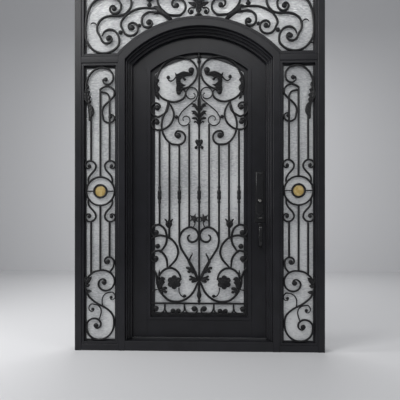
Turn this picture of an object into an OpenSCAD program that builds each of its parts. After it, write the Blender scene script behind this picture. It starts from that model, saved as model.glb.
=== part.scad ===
// Wrought iron entrance door: an arched leaf between two sidelights, under a transom.
// X runs along the wall, Z is up, and the street side faces -Y.
// The origin is the middle of the sill's underside, at half the frame's depth.

/* [Frame] */
// Width over the jambs
frame_w = 1676; // [1400:1:2100]
// Height from the sill's underside to the top of the header
frame_h = 2464; // [2330:1:2960]
// Depth of the frame through the wall
frame_d = 150; // [130:1:200]
// Face width of the jambs and the header
jamb_w = 46; // [38:1:70]
// Face width of the mullions beside the door and of the bars over the sidelights
mullion_w = 46; // [38:1:60]
// Clear width between the mullions
doorway_w = 992; // [820:1:1100]
// Height at which the doorway's arch springs
spring_z = 1963; // [1640:1:2010]
// Rise of the arch above its springing
arch_rise = 217; // [160:1:235]
// Face width of the arched head
arch_w = 50; // [38:1:52]
// Height of the underside of the bars over the sidelights
bar_z = 1939; // [1616:1:1960]
// Height of the threshold under the door
threshold_h = 66; // [50:1:80]
// Height of the bottom rails under the sidelights
rail_h = 45; // [35:1:60]
// Width that the door stop covers of the leaf's edge
stop_w = 36; // [30:1:45]

/* [Glazing] */
// Face width of the beads round the fixed glass
bead_w = 16; // [12:1:20]
// Width of the glass stop that shows inside each bead
lip_w = 12; // [10:1:16]
// Setback of the bead's face from the frame's face
bead_setback = 4; // [2:1:6]
// Thickness of the sealed glass units
glass_t = 20; // [16:1:24]
// Clearance round each glass unit
glass_gap = 4; // [3:1:5]

/* [Leaf] */
// Thickness of the leaf
leaf_t = 50; // [42:1:56]
// Gap between the leaf and the frame on the hinge side and under the stop
leaf_gap = 5; // [5:0.5:7]
// Gap on the lock side and under the arch, where the leaf's far corner swings past
swing_gap = 8; // [8:0.5:11]
// Gap over the threshold
sill_gap = 6; // [5:1:10]
// Distance of the leaf's inner face from the frame's inner face
leaf_setback = 5; // [4:1:10]
// Width of the leaf's stiles
stile_w = 131; // [110:1:150]
// Height of the leaf's bottom rail
kick_h = 120; // [95:1:150]
// Width of the arched top rail
head_w = 113; // [95:1:130]
// Face width of the moulding round the leaf's glass
moulding_w = 24; // [18:1:28]
// Height that the moulding stands proud of the leaf
moulding_proud = 4; // [2:1:5]
// Width of the glass stop that shows inside the moulding
leaf_lip_w = 28; // [20:1:32]

/* [Ironwork] */
// Side of the square bars and the scroll stock
bar_t = 14; // [11:1:16]
// Width of the scroll stock as seen from the front
scroll_w = 13; // [10:1:15]
// Width of the light tendrils
tendril_w = 7; // [6:1:9]
// Radius of the amber discs
amber_r = 36; // [28:1:44]
// Radius to the middle of the sidelight rings
ring_r = 96; // [85:1:98]
// Height of the rings' centres
ring_z = 1075; // [900:1:1250]

/* [Hinges] */
// Radius of a hinge barrel
barrel_r = 9; // [8:0.5:10]
// Radius of a hinge pin
pin_r = 5; // [4:0.5:6]
// Length of each half of a barrel
barrel_l = 60; // [50:1:72]
// Running clearance round a pin
pin_play = 0.05; // [0.02:0.01:0.1]
// Heights of the three hinges
hinge_zs = [330, 1100, 1750];

/* [Handleset] */
// Width of the handle plate
plate_w = 66; // [55:1:70]
// Height of the plate's lower end
plate_z = 866; // [850:1:880]
// Length of the plate
plate_l = 352; // [300:1:380]
// Thickness of the plate
plate_t = 6; // [4:1:8]
// Height of the key cylinder
lock_z = 1012; // [1000:1:1030]
// Height of the thumb piece's pin
thumb_z = 893; // [889:1:897]
// Length of the thumb piece
thumb_l = 50; // [40:1:56]
// Height of the pull's lower foot
pull_z = 690; // [670:1:710]
// Distance of the pull's back from the leaf
pull_reach = 46; // [40:1:55]
// Width of the pull
pull_w = 24; // [20:1:30]

/* [Hidden] */
$fn = 48;

iron = [0.11, 0.11, 0.12];
black_iron = [0.07, 0.07, 0.075];
frosted = [0.82, 0.84, 0.85, 0.6];
amber = [0.76, 0.62, 0.32];
dark_bronze = [0.10, 0.095, 0.10];

// Where things stand, from the sizes above
half_w = frame_w / 2;
front_y = -frame_d / 2;
back_y = frame_d / 2;
door_hw = doorway_w / 2;
mullion_x = door_hw + mullion_w;
jamb_x = half_w - jamb_w;
head_z = frame_h - jamb_w;
arch_r = (door_hw * door_hw + arch_rise * arch_rise) / (2 * arch_rise);
arch_z = spring_z + arch_rise - arch_r;
arch_out_r = arch_r + arch_w;
bar_top_z = bar_z + mullion_w;
light_w = jamb_x - mullion_x;
light_x = (jamb_x + mullion_x) / 2;
bead_y = front_y + bead_setback;
grille_y = bead_y + 7;
lip_y = grille_y + bar_t;
lip_t = 6;
glass_y = lip_y + lip_t;
bead_back_y = glass_y + glass_t + lip_t;
seat = 0.3;

leaf_back_y = back_y - leaf_setback;
leaf_y = leaf_back_y - leaf_t;
stop_back_y = leaf_y - leaf_gap;
leaf_left = -door_hw + leaf_gap;
leaf_right = door_hw - swing_gap;
leaf_bottom = threshold_h + sill_gap;
leaf_r = arch_r - swing_gap;
light_left = leaf_left + stile_w;
light_right = door_hw - leaf_gap - stile_w;
light_bottom = leaf_bottom + kick_h;
light_r = leaf_r - head_w;
pane_r = light_r - moulding_w;
pane_hw = light_right - moulding_w;
pane_bottom = light_bottom + moulding_w - 4;
moulding_y = leaf_y - moulding_proud;
leaf_grille_y = leaf_y + 4;
leaf_lip_y = leaf_grille_y + bar_t;
leaf_glass_y = leaf_lip_y + lip_t;
sash_y = leaf_glass_y + glass_t;

hinge_x = -door_hw + leaf_gap / 2;
hinge_y = back_y + barrel_r + 1;
handle_x = door_hw - 79;

// Moves a drawing from the XY plane to the XZ plane, as thick as t, starting at y
module upright(y, t) {
    translate([0, y + t, 0]) rotate([90, 0, 0]) linear_extrude(t) children();
}

// Everything under a round head about the arch's centre
module under_arch(r) {
    translate([0, arch_z]) circle(r, $fn = 180);
    translate([-r, 0]) square([2 * r, arch_z]);
}

// An arched opening's outline: straight sides under a round head
module arched(left, right, bottom, r) {
    intersection() {
        translate([left, bottom]) square([right - left, arch_z + r - bottom]);
        under_arch(r);
    }
}

// A block between two corners
module block(lo, hi) {
    translate(lo) cube([hi.x - lo.x, hi.y - lo.y, hi.z - lo.z]);
}

// ---- Fixed frame ----

module left_jamb() {
    color(iron) block([-half_w, front_y, 0], [-jamb_x, back_y, frame_h]);
}

module right_jamb() {
    color(iron) block([jamb_x, front_y, 0], [half_w, back_y, frame_h]);
}

module header() {
    color(iron) block([-jamb_x, front_y, head_z], [jamb_x, back_y, frame_h]);
}

// A mullion, whose top carries the shoulder of the arched head
module mullion() {
    color(iron) upright(front_y, frame_d) union() {
        translate([door_hw, 0]) square([mullion_w, bar_top_z]);
        intersection() {
            translate([door_hw, 0]) square([mullion_w, frame_h]);
            translate([0, arch_z]) circle(arch_out_r, $fn = 180);
        }
    }
}

module right_mullion() {
    mullion();
}

module left_mullion() {
    mirror([1, 0, 0]) mullion();
}

module right_transom_bar() {
    color(iron) block([mullion_x, front_y, bar_z], [jamb_x, back_y, bar_top_z]);
}

module left_transom_bar() {
    mirror([1, 0, 0]) right_transom_bar();
}

// The part of a round band over the doorway, between two radii
module arch_band(inner_r, outer_r) {
    difference() {
        intersection() {
            translate([-door_hw, arch_z]) square([doorway_w, outer_r + 1]);
            translate([0, arch_z]) circle(outer_r, $fn = 180);
        }
        translate([0, arch_z]) circle(inner_r, $fn = 180);
    }
}

module transom_arch() {
    color(iron) upright(front_y, frame_d) arch_band(arch_r, arch_out_r);
}

module threshold() {
    color(iron) block([-door_hw, front_y, 0], [door_hw, back_y, threshold_h]);
}

module right_bottom_rail() {
    color(iron) block([mullion_x, front_y, 0], [jamb_x, back_y, rail_h]);
}

module left_bottom_rail() {
    mirror([1, 0, 0]) right_bottom_rail();
}

// The stops step forward in layers: where each starts and ends, and its share of the stop's width
stop_layers = [[0, 22, 1], [22, 44, 0.64], [44, 70, 0.3]];

module side_stop() {
    color(iron) for (layer = stop_layers)
        upright(stop_back_y - layer[1], layer[1] - layer[0])
            arched(door_hw - stop_w * layer[2], door_hw, threshold_h, arch_r - stop_w * layer[2]);
}

module right_door_stop() {
    side_stop();
}

module left_door_stop() {
    mirror([1, 0, 0]) side_stop();
}

module arch_door_stop() {
    color(iron) for (layer = stop_layers)
        upright(stop_back_y - layer[1], layer[1] - layer[0]) arch_band(arch_r - stop_w * layer[2], arch_r);
}

// ---- Fixed glazing ----

// A sidelight's opening, less an equal margin all round
module sidelight_outline(margin) {
    translate([mullion_x + margin, rail_h + margin])
        square([light_w - 2 * margin, bar_z - rail_h - 2 * margin]);
}

// The transom's opening over the arch, less an equal margin all round
module transom_outline(margin) {
    difference() {
        translate([-jamb_x + margin, bar_top_z + margin])
            square([2 * (jamb_x - margin), head_z - bar_top_z - 2 * margin]);
        translate([0, arch_z]) circle(arch_out_r + margin, $fn = 180);
    }
}

// A bead's layers from front to back: [start, end, width], of which the second is the glass stop
bead_layers = [
    [bead_y, lip_y, bead_w],
    [lip_y, glass_y, bead_w + lip_w],
    [glass_y, glass_y + glass_t, glass_gap],
    [glass_y + glass_t, bead_back_y, bead_w]];

module right_sidelight_bead() {
    color(iron) union() for (l = bead_layers)
        upright(l[0], l[1] - l[0]) difference() {
            sidelight_outline(0);
            sidelight_outline(l[2]);
        }
}

module left_sidelight_bead() {
    mirror([1, 0, 0]) right_sidelight_bead();
}

bead_strip = bead_w + lip_w;

// The bead's head and upright strips
module transom_upper_bead() {
    color(iron) union() for (l = bead_layers)
        upright(l[0], l[1] - l[0]) difference() {
            translate([-jamb_x, bar_top_z]) square([2 * jamb_x, head_z - bar_top_z]);
            translate([l[2] - jamb_x, bar_top_z - 1]) square([2 * (jamb_x - l[2]), head_z - l[2] - bar_top_z + 1]);
        }
}

// The bead's strips along the bars and over the arch, between the upright strips
module transom_lower_bead() {
    color(iron) union() for (l = bead_layers)
        upright(l[0], l[1] - l[0]) difference() {
            intersection() {
                translate([l[2] - jamb_x, bar_top_z]) square([2 * (jamb_x - l[2]), head_z - bar_top_z]);
                union() {
                    translate([-jamb_x, bar_top_z]) square([2 * jamb_x, l[2]]);
                    translate([0, arch_z]) circle(arch_out_r + l[2], $fn = 180);
                }
            }
            translate([0, arch_z]) circle(arch_out_r, $fn = 180);
        }
}

module right_sidelight_glass() {
    color(frosted) upright(glass_y, glass_t) sidelight_outline(glass_gap);
}

module left_sidelight_glass() {
    mirror([1, 0, 0]) right_sidelight_glass();
}

module transom_glass() {
    color(frosted) upright(glass_y, glass_t) transom_outline(glass_gap);
}

// ---- Ironwork ----
// A scroll is a bar bent along a path: a few points for its long sweep, and coils about its eyes.
// The patterns are drawn at the panels' design sizes, and each is stretched to the panel it fills,
// while the bars, rings, eyes and balls keep their own sizes.

// Steps between neighbouring points of a path
path_steps = 2;
// Angle between neighbouring points of a coil
coil_step = 30;

// A point on a smooth curve through four points, t of the way from b to c
function smooth_point(a, b, c, d, t) =
    (2 * b + (c - a) * t + (2 * a - 5 * b + 4 * c - d) * t * t + (3 * b - a - 3 * c + d) * t * t * t) / 2;

// A smooth path through the points
function smooth(p) = let (n = len(p) - 1) concat(
    [for (i = [0 : n - 1]) let (a = p[max(i - 1, 0)], d = p[min(i + 2, n)])
        for (s = [0 : path_steps - 1]) smooth_point(a, p[i], p[i + 1], d, s / path_steps)],
    [p[n]]);

// A coil about c, from radius r0 at angle a0 to radius r1 at angle a1
function coil(c, r0, r1, a0, a1) = let (n = ceil(abs(a1 - a0) / coil_step))
    [for (i = [0 : n]) let (t = i / n, a = a0 + (a1 - a0) * t) c + (r0 + (r1 - r0) * t) * [cos(a), sin(a)]];

// Stretches a point of a pattern: scale about a centre, then move the centre
function fit(p, scale, from, to) = [to.x + (p.x - from.x) * scale.x, to.y + (p.y - from.y) * scale.y];

// The unit normal of a path at one of its points
function normal_at(p, i) =
    let (d = p[min(i + 1, len(p) - 1)] - p[max(i - 1, 0)]) [-d.y, d.x] / norm(d);

// A bar of width w bent along a path
module stroke(p, w) {
    side = [for (i = [0 : len(p) - 1]) normal_at(p, i) * w / 2];
    for (i = [0 : len(p) - 2])
        polygon([p[i] + side[i], p[i + 1] + side[i + 1], p[i + 1] - side[i + 1], p[i] - side[i]]);
}

// An upright bar
module upright_bar(x, z0, z1) {
    translate([x - bar_t / 2, min(z0, z1)]) square([bar_t, abs(z1 - z0)]);
}

// A ball or a scroll's eye
module eye(c, r) {
    translate(c) circle(r, $fn = 12);
}

// An eye's outline before its panel stretches it
function eye_outline(c, r) = [for (a = [0 : 30 : 330]) c + r * [cos(a), sin(a)]];

eye_r = 13;
small_eye_r = 10;

// ---- Sidelight ironwork: the left panel, with X towards the door ----

panel_hw = 107;
panel_bottom = 61;
panel_top = 1923;
light_hw = light_w / 2 - bead_w;
light_bottom_z = rail_h + bead_w;
light_top_z = bar_z - bead_w;
panel_scale = [light_hw / panel_hw, (light_top_z - light_bottom_z) / (panel_top - panel_bottom)];
function on_panel(p) = fit(p, panel_scale, [0, panel_bottom], [0, light_bottom_z]);
function panel_path(p) = smooth([for (q = p) on_panel(q)]);

top_scroll = concat(
    [[-100, 1745], [-94, 1805], [-82, 1842], [-64, 1873], [-34, 1900], [10, 1914], [56, 1900], [80, 1874]],
    coil([36, 1832], 53, 12, 22, -200));
harp_scroll = concat(
    [[0, 1765], [22, 1780], [50, 1786], [78, 1774], [93, 1750], [92, 1724], [78, 1704], [56, 1682],
        [34, 1662], [19, 1640], [12, 1612], [16, 1585]],
    coil([66, 1578], 48, 12, 205, 470));
inner_arch = [[0, 1748], [34, 1742], [52, 1730], [62, 1706]];
small_scroll = concat([[58, 522], [84, 556]], coil([52, 598], 42, 11, -25, 300));
big_scroll = concat(
    coil([26, 456], 14, 86, 40, 465),
    [[-38, 530], [-72, 504], [-93, 470], [-101, 425], [-80, 366], [-49, 335], [-17, 312], [19, 294],
        [50, 274], [76, 248], [89, 217]],
    coil([-25, 160], 116, 68, 5, -165),
    coil([-30, 164], 62, 12, -190, -470));
tendril_up = concat([[16, 296], [12, 338], [22, 366], [44, 385]], coil([72, 356], 36, 10, 80, -120));
tendril_down = concat([[-8, 204], [6, 255], [0, 284], [-18, 302]], coil([-50, 275], 36, 10, 100, 300));
// Beside the ring, from the ring's centre
ring_scroll = concat([[-80, 54], [-80, 83], [-68, 109], [-50, 129], [-35, 149]], coil([-74, 171], 44, 10, 0, 330));
// The cast leaf that the top scroll springs from
side_leaf = [[-100, 1775], [-90, 1742], [-78, 1714], [-84, 1690], [-58, 1664], [-42, 1632], [-56, 1600],
    [-56, 1560], [-68, 1560], [-74, 1600], [-94, 1650], [-101, 1700]];
bar_x = 62;

module sidelight_pattern() {
    ring = [0, ring_z];
    bar = bar_x * panel_scale.x;
    intersection() {
        translate([-light_hw + seat, light_bottom_z + seat])
            square([2 * (light_hw - seat), light_top_z - light_bottom_z - 2 * seat]);
        union() {
            for (p = [top_scroll, harp_scroll, inner_arch, small_scroll, big_scroll])
                stroke(panel_path(p), scroll_w);
            for (p = [tendril_up, tendril_down]) stroke(panel_path(p), tendril_w);
            for (c = [[36, 1832], [66, 1578], [52, 598], [26, 456], [-30, 164]]) eye(on_panel(c), eye_r);
            for (c = [[72, 356], [-50, 275]]) eye(on_panel(c), small_eye_r);
            polygon([for (q = side_leaf) on_panel(q)]);
            translate(ring) difference() {
                circle(ring_r + scroll_w / 2, $fn = 36);
                circle(ring_r - scroll_w / 2, $fn = 36);
            }
            translate(ring) difference() {
                circle(amber_r + scroll_w, $fn = 24);
                circle(amber_r + seat, $fn = 24);
            }
            for (x = [-ring_r, amber_r + seat + 1])
                translate(ring + [x, -tendril_w / 2]) square([ring_r - amber_r - seat - 1, tendril_w]);
            for (sx = [-1, 1], sz = [-1, 1]) translate(ring) scale([sx, sz]) {
                stroke(smooth([for (q = ring_scroll) [q.x * panel_scale.x, q.y]]), scroll_w);
                eye([-74 * panel_scale.x, 171], small_eye_r);
            }
            upright_bar(0, ring_z + ring_r, on_panel([0, 1768]).y);
            upright_bar(-bar, ring_z + 203, on_panel([0, 1565]).y);
            upright_bar(bar, ring_z + 203, on_panel([0, 1712]).y);
            upright_bar(0, ring_z - ring_r, on_panel([0, 542]).y);
            upright_bar(-bar, ring_z - 203, on_panel([0, 510]).y);
            upright_bar(bar, ring_z - 203, on_panel([0, 630]).y);
        }
    }
}

module left_sidelight_grille() {
    color(black_iron) upright(grille_y, bar_t) offset(delta = 0.01)
        translate([-light_x, 0]) sidelight_pattern();
}

module right_sidelight_grille() {
    mirror([1, 0, 0]) left_sidelight_grille();
}

// The amber discs, each set in the middle of a sidelight's ring
module amber_medallions() {
    color(amber) for (side = [-1, 1])
        translate([side * light_x, lip_y - 2, ring_z]) rotate([90, 0, 0]) cylinder(bar_t - 4, r = amber_r);
}

// ---- Transom ironwork: the right half, with X out from the middle ----

design_jamb_x = 776;
design_sill = 2001;
design_head = 2402;
transom_hw = jamb_x - bead_w;
transom_sill = bar_top_z + bead_w;
transom_head = head_z - bead_w;
transom_scale = [transom_hw / design_jamb_x, (transom_head - transom_sill) / (design_head - design_sill)];
function on_transom(p) = fit(p, transom_scale, [0, design_sill], [0, transom_sill]);
function transom_path(p) = smooth([for (q = p) on_transom(q)]);

great_scroll = concat(
    [[655, 2124], [640, 2155], [604, 2170], [564, 2155], [540, 2112], [545, 2060], [590, 2022], [647, 2010],
        [704, 2026], [744, 2066], [766, 2115], [770, 2180], [764, 2240], [750, 2296], [720, 2350], [665, 2386],
        [608, 2396], [556, 2378], [528, 2342]],
    coil([574, 2314], 48, 13, 170, 480));
s_scroll = concat(
    [[480, 2402], [460, 2372], [455, 2340], [466, 2308], [494, 2276], [530, 2263], [570, 2262], [606, 2261],
        [645, 2249], [674, 2224], [688, 2190], [686, 2154], [672, 2130]],
    coil([614, 2114], 50, 12, 0, -260));
arch_scroll = concat(
    [[250, 2304], [330, 2311], [382, 2311], [422, 2303], [458, 2287], [494, 2262], [518, 2232], [528, 2200]],
    coil([454, 2180], 64, 14, -5, -420));
inner_scroll = concat(
    [[250, 2274], [308, 2281], [336, 2281], [362, 2270], [380, 2250]],
    coil([340, 2214], 46, 12, 15, -290));
centre_scroll = concat(
    [[284, 2404], [280, 2366], [273, 2336], [255, 2306], [228, 2279], [200, 2263], [168, 2258]],
    coil([146, 2318], 62, 52, 255, 70),
    coil([150, 2326], 36, 12, 40, -80));
arch_leaf = [[300, 2316], [270, 2318], [246, 2310], [222, 2286], [196, 2252], [184, 2240], [180, 2226],
    [196, 2220], [214, 2232], [240, 2256], [262, 2268], [296, 2270], [280, 2290]];
palmette = [[0, 2300], [26, 2312], [44, 2300], [56, 2282], [44, 2268], [34, 2284], [22, 2272], [16, 2246], [0, 2246]];

// Eyes, the two balls between scrolls and the urn: [x, z, radius]
transom_eyes = [[573, 2313, 17], [613, 2112, 17], [452, 2180, 17], [339, 2214, 17], [148, 2325, 17],
    [530, 2150, 15], [400, 2194, 13], [332, 2372, 30], [332, 2328, 18]];

module transom_pattern() {
    difference() {
        intersection() {
            translate([seat / 2, transom_sill + seat])
                square([transom_hw - 1.5 * seat, transom_head - transom_sill - 2 * seat]);
            union() {
                for (p = [great_scroll, s_scroll, arch_scroll, inner_scroll, centre_scroll])
                    stroke(transom_path(p), scroll_w);
                stroke(transom_path([[690, 2195], [712, 2214], [730, 2208]]), tendril_w);
                stroke(transom_path([[274, 2345], [260, 2306]]), tendril_w);
                for (e = transom_eyes) polygon([for (q = eye_outline([e.x, e.y], e[2])) on_transom(q)]);
                for (outline = [arch_leaf, palmette]) polygon([for (q = outline) on_transom(q)]);
                translate([0, transom_sill]) square([bar_t, transom_head - transom_sill]);
            }
        }
        translate([0, arch_z]) circle(arch_out_r + bead_w + seat, $fn = 180);
    }
}

module right_transom_scrolls() {
    color(black_iron) upright(grille_y, bar_t) offset(delta = 0.01) transom_pattern();
}

module left_transom_scrolls() {
    mirror([1, 0, 0]) right_transom_scrolls();
}

// ---- Hinges: the lower half of each barrel is the frame's and holds the pin ----

module frame_hinge_halves() {
    color(dark_bronze) for (z = hinge_zs) {
        translate([hinge_x, hinge_y, z]) cylinder(barrel_l, r = barrel_r);
        translate([hinge_x, hinge_y, z]) cylinder(2 * barrel_l - 4, r = pin_r);
        block([-mullion_x + 4, back_y, z], [hinge_x - 3, back_y + 5, z + barrel_l]);
        block([hinge_x - barrel_r, back_y, z], [hinge_x - 3, hinge_y, z + barrel_l]);
    }
}

module door_hinge_halves() {
    color(dark_bronze) for (z = hinge_zs)
        difference() {
            union() {
                translate([hinge_x, hinge_y, z + barrel_l + 1]) cylinder(barrel_l, r = barrel_r);
                block([leaf_left + 1, leaf_back_y, z + barrel_l + 1], [leaf_left + 40, leaf_back_y + 5, z + 2 * barrel_l + 1]);
                block([leaf_left + 1, leaf_back_y, z + barrel_l + 1], [hinge_x + barrel_r, hinge_y, z + 2 * barrel_l + 1]);
            }
            translate([hinge_x, hinge_y, z]) cylinder(2 * barrel_l - 2, r = pin_r + pin_play);
        }
}

// ---- Leaf ----

module leaf_outline() {
    arched(leaf_left, leaf_right, leaf_bottom, leaf_r);
}

// The opening in the leaf's steel, less a margin
module light_outline(margin) {
    arched(light_left + margin, light_right - margin, light_bottom + margin, light_r - margin);
}

module pane_outline(margin) {
    arched(-pane_hw + margin, pane_hw - margin, pane_bottom + margin, pane_r - margin);
}

module hinge_stile() {
    color(iron) upright(leaf_y, leaf_t) arched(leaf_left, light_left, leaf_bottom, light_r);
}

module lock_stile() {
    color(iron) upright(leaf_y, leaf_t) arched(light_right, leaf_right, leaf_bottom, light_r);
}

module door_bottom_rail() {
    color(iron) block([light_left, leaf_y, leaf_bottom], [light_right, leaf_back_y, light_bottom]);
}

module door_arch_rail() {
    color(iron) upright(leaf_y, leaf_t) difference() {
        intersection() {
            leaf_outline();
            translate([leaf_left, arch_z]) square([leaf_right - leaf_left, leaf_r + 1]);
        }
        translate([0, arch_z]) circle(light_r, $fn = 180);
    }
}

// The moulding round the leaf's glass: its face, the lip that the glass bears on, and its back
module door_moulding() {
    color(iron) union() {
        upright(moulding_y, leaf_lip_y - moulding_y) difference() {
            light_outline(0);
            pane_outline(0);
        }
        upright(leaf_lip_y, lip_t) difference() {
            light_outline(0);
            pane_outline(leaf_lip_w);
        }
        upright(leaf_glass_y, leaf_back_y - leaf_glass_y) difference() {
            light_outline(0);
            light_outline(moulding_w - glass_gap);
        }
    }
}

// The sash that holds the glass from indoors
module door_glass_sash() {
    color(iron) upright(sash_y, leaf_back_y - sash_y) difference() {
        light_outline(moulding_w - glass_gap);
        pane_outline(leaf_lip_w);
    }
}

module door_glass() {
    color(frosted) upright(leaf_glass_y, glass_t) pane_outline(seat);
}

// ---- Leaf ironwork: the right half, with X out from the middle ----

design_hw = 336;
design_bottom = 212;
design_crown = 2035;
leaf_scale = [pane_hw / design_hw, (arch_z + pane_r - pane_bottom) / (design_crown - design_bottom)];
function on_leaf(p) = fit(p, leaf_scale, [0, design_bottom], [0, pane_bottom]);
function leaf_path(p) = smooth([for (q = p) on_leaf(q)]);
bar_pitch = 68.7;

crown_loop = [[122, 1788], [70, 1806], [25, 1855], [12, 1918], [48, 1980], [112, 2008], [186, 2002], [250, 1958],
    [286, 1890], [300, 1830], [292, 1772], [250, 1724], [176, 1700], [112, 1722], [94, 1764], [118, 1792]];
lyre = concat(
    coil([48, 1752], 10, 30, -220, -120),
    coil([52, 1758], 38, 42, -85, 200),
    [[22, 1716], [55, 1688], [88, 1660], [118, 1633]],
    coil([99, 1574], 48, 38, 35, -110),
    coil([96, 1577], 36, 12, -140, -400));
side_scroll = concat(coil([290, 1660], 18, 62, 180, -100), [[232, 1628], [214, 1668], [218, 1702]]);
inward_arc = concat(
    [[214, 1702], [190, 1664], [177, 1625], [180, 1585], [200, 1546], [236, 1517]],
    coil([292, 1560], 57, 12, 245, 500));
outward_arc = concat(
    [[214, 1702], [228, 1645], [252, 1590], [261, 1540], [252, 1490], [230, 1444], [194, 1411]],
    coil([143, 1456], 53, 42, 280, 95),
    coil([145, 1466], 32, 12, 80, -60));
hook_leaf = [[38, 1902], [46, 1885], [82, 1878], [100, 1868], [88, 1856], [103, 1846], [114, 1861], [126, 1858],
    [127, 1838], [108, 1823], [90, 1817], [113, 1803], [98, 1797], [106, 1783], [124, 1765], [142, 1749],
    [156, 1764], [159, 1790], [158, 1815], [163, 1874], [168, 1906], [154, 1894], [130, 1905], [108, 1912],
    [80, 1908], [58, 1900]];
crown_tendril = [[158, 1876], [178, 1852], [196, 1844], [210, 1850], [217, 1864]];
loop_leaf = [[284, 1900], [292, 1870], [276, 1850], [286, 1825], [272, 1800], [282, 1775], [308, 1770], [312, 1830], [300, 1880]];
stem = [[0, 1744], [9, 1722], [16, 1702], [36, 1692], [56, 1680], [40, 1676], [49, 1663], [30, 1667], [20, 1660],
    [32, 1647], [53, 1634], [38, 1631], [45, 1616], [28, 1621], [19, 1611], [28, 1596], [45, 1577], [32, 1577],
    [34, 1561], [21, 1567], [13, 1554], [0, 1538]];
heart = [[0, 1404], [22, 1378], [26, 1392], [20, 1418], [10, 1434], [0, 1428]];

module upper_half() {
    for (p = [crown_loop, side_scroll, inward_arc, outward_arc]) stroke(leaf_path(p), scroll_w);
    for (p = [lyre, crown_tendril]) stroke(leaf_path(p), tendril_w);
    for (c = [[292, 1560], [145, 1466], [290, 1660]]) eye(on_leaf(c), eye_r);
    eye(on_leaf([54, 1916]), 21);
    eye(on_leaf([214, 1871]), 12);
    eye(on_leaf([158, 1596]), 14);
    for (outline = [hook_leaf, loop_leaf, stem, heart]) polygon([for (q = outline) on_leaf(q)]);
    translate([0, on_leaf([0, 1395]).y]) square([bar_t / 2, on_leaf([0, 2040]).y - on_leaf([0, 1395]).y]);
}

lower_lyre = concat(
    [[4, 458], [14, 490], [50, 565], [90, 628], [127, 690], [137, 742], [127, 786], [102, 816]],
    coil([56, 766], 66, 12, 80, 420));
heel_scroll = [[3, 455], [14, 438], [42, 380], [92, 334], [150, 316], [212, 327], [264, 376], [290, 435],
    [294, 480], [305, 520], [328, 552]];
rose_hook = [[286, 470], [272, 505], [243, 536], [212, 548], [180, 545], [150, 525], [132, 495], [126, 465]];
upper_side = concat(coil([298, 795], 12, 52, -130, 90), [[272, 847], [240, 820], [225, 772], [229, 722], [250, 684], [272, 656]]);
middle_side = [[336, 748], [311, 763], [273, 775], [232, 768], [190, 747], [157, 704], [146, 658], [160, 610],
    [196, 568], [216, 548]];
lower_side = concat(coil([300, 614], 12, 52, -130, 90), [[273, 668], [246, 645], [227, 612], [222, 577], [221, 550]]);
rose_stem = [[150, 415], [140, 386], [118, 360], [98, 340]];
side_link = [[334, 385], [308, 396], [276, 402]];
vine_stem = [[24, 872], [30, 850], [44, 828]];
vine_leaf = [[16, 905], [34, 916], [42, 902], [56, 892], [44, 880], [34, 866], [18, 868], [12, 886]];
heel_leaves = [
    [[10, 470], [30, 498], [60, 500], [72, 478], [50, 466], [30, 452]],
    [[30, 520], [40, 548], [66, 566], [92, 552], [78, 530], [58, 522]],
    [[286, 490], [262, 472], [256, 440], [274, 416], [292, 430]],
    [[282, 412], [252, 414], [242, 396], [256, 376], [272, 384]]];
rose_c = [173, 451];
petals = 6;

module lower_half() {
    for (p = [lower_lyre, heel_scroll, rose_hook, upper_side, middle_side, lower_side])
        stroke(leaf_path(p), scroll_w);
    for (p = [rose_stem, side_link, vine_stem]) stroke(leaf_path(p), tendril_w);
    for (c = [[298, 795], [300, 614]]) eye(on_leaf(c), eye_r + 3);
    for (c = [[289, 702], [289, 680]]) eye(on_leaf(c), eye_r + 3);
    eye(on_leaf([101, 355]), small_eye_r);
    polygon([for (q = vine_leaf) on_leaf(q)]);
    for (outline = heel_leaves) polygon([for (q = outline) on_leaf(q)]);
    translate(on_leaf(rose_c)) {
        circle(30, $fn = 24);
        for (i = [0 : petals - 1]) rotate(360 / petals * i) translate([29, 0]) circle(17, $fn = 12);
    }
}

outer_hook = concat([[238, 304], [239, 268], [250, 242]], coil([304, 260], 42, 13, 205, 440));
outer_curl = concat([[238, 276], [236, 248], [224, 230]], coil([188, 246], 32, 12, -50, -300));
inner_hook = concat([[102, 304], [101, 268], [90, 242]], coil([36, 260], 42, 13, -25, -260));
inner_curl = concat([[102, 276], [104, 248], [116, 230]], coil([150, 246], 32, 12, 230, 480));
border_rail_z = 304;

module border_half() {
    for (p = [outer_hook, outer_curl, inner_hook, inner_curl]) stroke(leaf_path(p), scroll_w - 3);
    for (c = [[304, 262], [188, 247], [36, 262], [150, 247]]) eye(on_leaf(c), eye_r);
    translate([0, on_leaf([0, border_rail_z]).y - scroll_w / 2]) square([pane_hw, scroll_w]);
}

module both_halves() {
    children();
    mirror([1, 0]) children();
}

module upper_pattern() {
    intersection() {
        pane_outline(seat);
        both_halves() upper_half();
    }
}

module lower_pattern() {
    intersection() {
        pane_outline(seat);
        difference() {
            both_halves() lower_half();
            border_clearance();
        }
    }
}

module border_pattern() {
    intersection() {
        pane_outline(seat);
        both_halves() border_half();
    }
}

// What the lower scrolls keep off: the border's rail and all under it
module border_clearance() {
    translate([-pane_hw, 0]) square([2 * pane_hw, on_leaf([0, border_rail_z]).y + scroll_w / 2 + seat]);
}

// Bars run between the upper and lower scrolls, and the middle one down to the border
module vertical_bar_pattern() {
    upright_bar(0, on_leaf([0, 296]).y, on_leaf([0, 1395]).y);
    for (side = [-1, 1]) {
        upright_bar(side * bar_pitch * leaf_scale.x, on_leaf([0, 829]).y, on_leaf([0, 1545]).y);
        upright_bar(2 * side * bar_pitch * leaf_scale.x, on_leaf([0, 742]).y, on_leaf([0, 1406]).y);
        upright_bar(3 * side * bar_pitch * leaf_scale.x, on_leaf([0, 756]).y, on_leaf([0, 1424]).y);
        upright_bar(4 * side * bar_pitch * leaf_scale.x, on_leaf([0, 846]).y, on_leaf([0, 1506]).y);
    }
}

module leaf_iron() {
    color(black_iron) upright(leaf_grille_y, bar_t) offset(delta = 0.01) children();
}

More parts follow.
